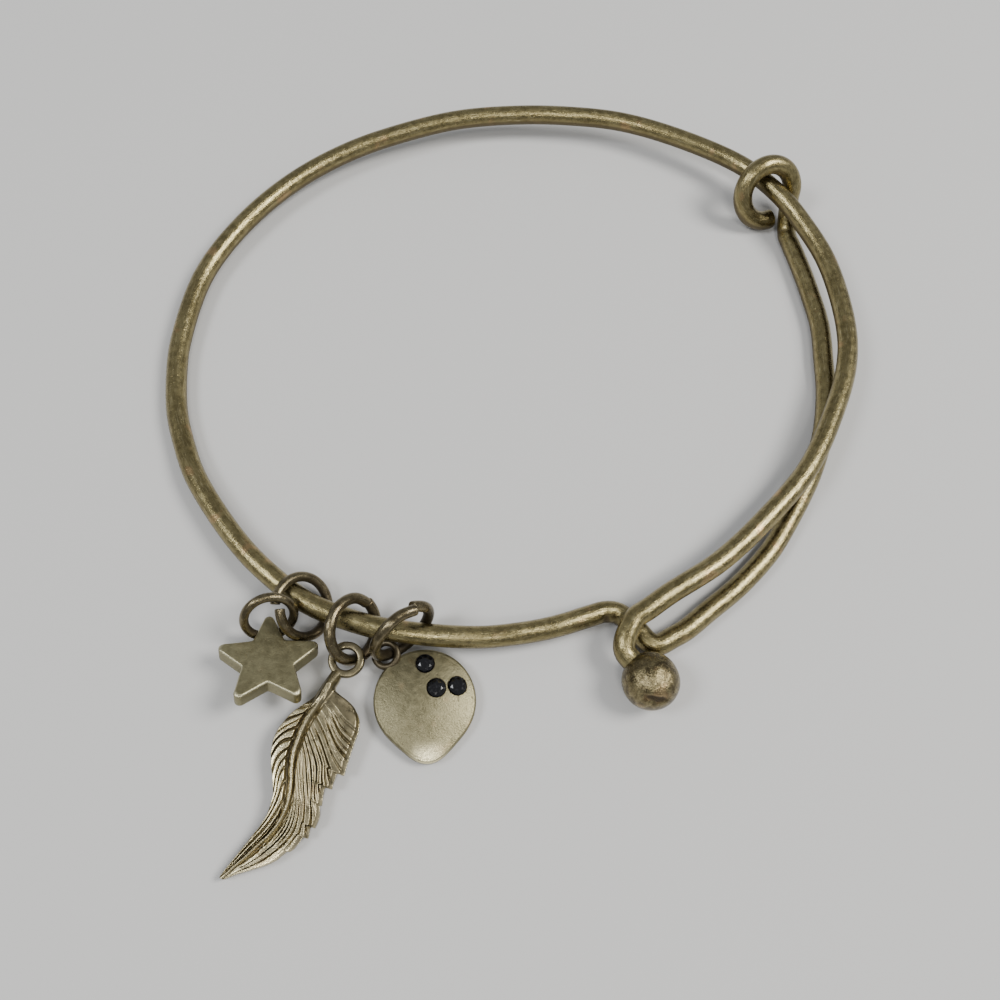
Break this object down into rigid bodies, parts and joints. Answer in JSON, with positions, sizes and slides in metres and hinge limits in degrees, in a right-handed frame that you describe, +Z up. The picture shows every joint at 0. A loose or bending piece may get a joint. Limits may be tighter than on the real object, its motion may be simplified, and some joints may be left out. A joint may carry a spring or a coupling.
{
  "type": "charm bangle",
  "caption": "Adjustable wire charm bangle with a ball-end hook, a sliding closure, and star, feather and petal charms on jump rings.",
  "frame": {"origin": "centre of the oval, on the surface that the bangle lies on", "axes": "+Z up from the surface, through the oval where the wrist goes; +X to the right towards the two overlapping strands; -Y towards the charms and the ball end"},
  "size_m": [0.0691, 0.0803, 0.0069],
  "materials": {
    "antique_brass": "satin antique brass, brushed along the wire, dark specks",
    "dark_brass": "dark antique brass with worn bright edges",
    "satin_brass": "matte antique brass with worn bright edges",
    "pale_brass": "pale worn antique brass, dark in the grooves",
    "jet": "black faceted glass"
  },
  "bodies": {
    "root": {"bangle_wire": "antique_brass", "end_ball": "antique_brass", "star_ring_large": "dark_brass", "star_ring_small": "dark_brass", "star_charm": "satin_brass", "feather_ring": "dark_brass", "feather_charm": "pale_brass", "petal_ring": "dark_brass", "petal_charm": "satin_brass", "stone_1": "jet", "stone_2": "jet", "stone_3": "jet"}
  },
  "joints": []
}
